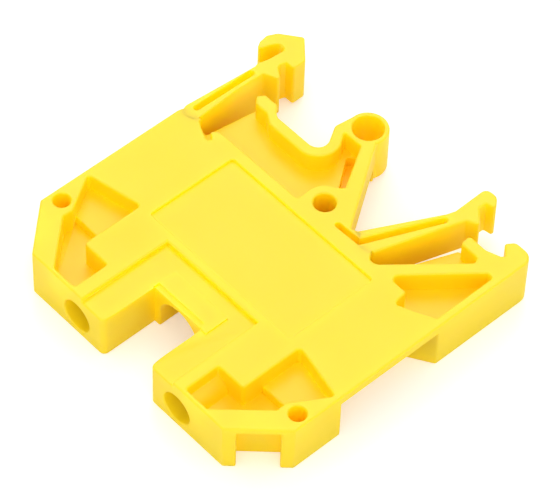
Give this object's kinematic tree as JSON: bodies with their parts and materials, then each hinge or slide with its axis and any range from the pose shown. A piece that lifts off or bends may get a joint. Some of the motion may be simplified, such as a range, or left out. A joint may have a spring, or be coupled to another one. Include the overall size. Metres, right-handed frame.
{
  "type": "rail-mount feed-through terminal block",
  "caption": "Flat moulded terminal block with a sprung rail foot, screw-driven cage clamps on a current bar, side wire entries and a jumper notch in its screw edge.",
  "frame": {"origin": "middle of the footprint at the open side, on which the block lies", "axes": "+Z from the open side to the closed side, through the thickness; +Y from the screw edge to the rail foot; +X from the release leg's wire side to the fixed hook's wire side"},
  "size_m": [0.0418, 0.0422, 0.0065],
  "materials": {
    "polyamide": "satin moulded yellow polyamide",
    "plated_copper": "tin-plated copper",
    "plated_steel": "zinc-plated steel"
  },
  "bodies": {
    "housing": {"housing": "polyamide", "current_bar": "plated_copper"},
    "release_leg": {"release_foot": "polyamide"},
    "spring_leg": {"spring_foot": "polyamide"},
    "yoke_left": {"clamp_yoke_left": "plated_steel"},
    "yoke_right": {"clamp_yoke_right": "plated_steel"},
    "screw_left": {"clamp_screw_left": "plated_steel"},
    "screw_right": {"clamp_screw_right": "plated_steel"}
  },
  "joints": [
    {"name": "release_leg_bend", "type": "hinge", "parent": "housing", "child": "release_leg", "pos_m": [-0.01787, 0.0048, 0.0035], "axis": [0, 0, 1], "range_deg": [0, 8], "stiffness_Nm_per_rad": 1},
    {"name": "spring_leg_bend", "type": "hinge", "parent": "housing", "child": "spring_leg", "pos_m": [0.00803, 0.0069, 0.00435], "axis": [0, 0, 1], "range_deg": [0, 8], "stiffness_Nm_per_rad": 1},
    {"name": "screw_turn_left", "type": "hinge", "parent": "housing", "child": "screw_left", "pos_m": [-0.007, -0.0141, 0.00265], "axis": [0, 1, 0], "range_deg": [0, 1980]},
    {"name": "screw_turn_right", "type": "hinge", "parent": "housing", "child": "screw_right", "pos_m": [0.0088, -0.0141, 0.00265], "axis": [0, 1, 0], "range_deg": [0, 1980]},
    {"name": "yoke_lift_left", "type": "slide", "parent": "housing", "child": "yoke_left", "axis": [0, -1, 0], "range_m": [0, 0.00275]},
    {"name": "yoke_lift_right", "type": "slide", "parent": "housing", "child": "yoke_right", "axis": [0, -1, 0], "range_m": [0, 0.00275]}
  ],
  "couplings": [
    {"joint": "screw_turn_left", "follows": "yoke_lift_left", "rad_per_m": 12566},
    {"joint": "screw_turn_right", "follows": "yoke_lift_right", "rad_per_m": 12566}
  ]
}
